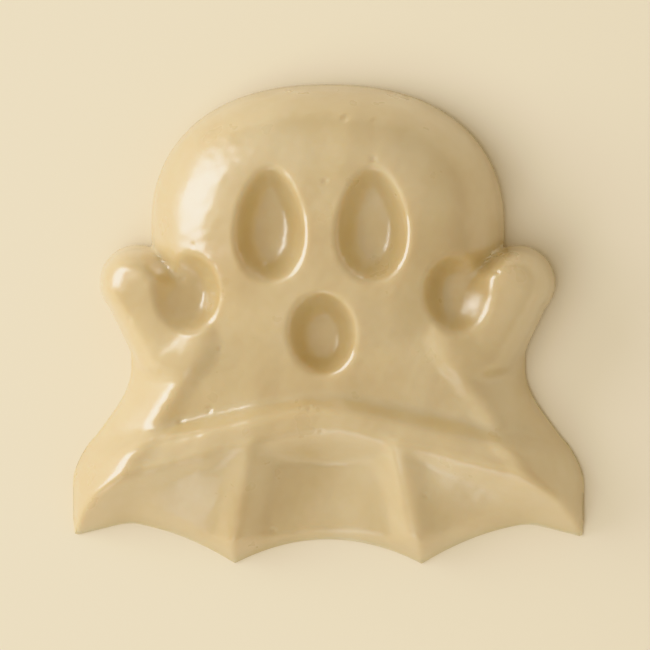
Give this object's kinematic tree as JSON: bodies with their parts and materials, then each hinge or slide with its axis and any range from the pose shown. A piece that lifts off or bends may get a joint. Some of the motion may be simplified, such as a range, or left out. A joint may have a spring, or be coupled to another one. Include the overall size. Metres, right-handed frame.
{
  "type": "chocolate ghost",
  "caption": "Moulded white chocolate ghost for topping a cake: domed head, sunken eyes and mouth, raised arms, flared robe with a scalloped hem, flat back.",
  "frame": {"origin": "middle of the box round the flat back, on the back itself", "axes": "+X across the ghost, its two halves alike either side of X = 0; +Y up its body from hem to head; +Z out of its face"},
  "size_m": [0.0296, 0.0275, 0.007],
  "materials": {
    "white_chocolate": "satin, as white chocolate cast in a smooth mould"
  },
  "bodies": {
    "root": {"chocolate_ghost": "white_chocolate"}
  },
  "joints": []
}
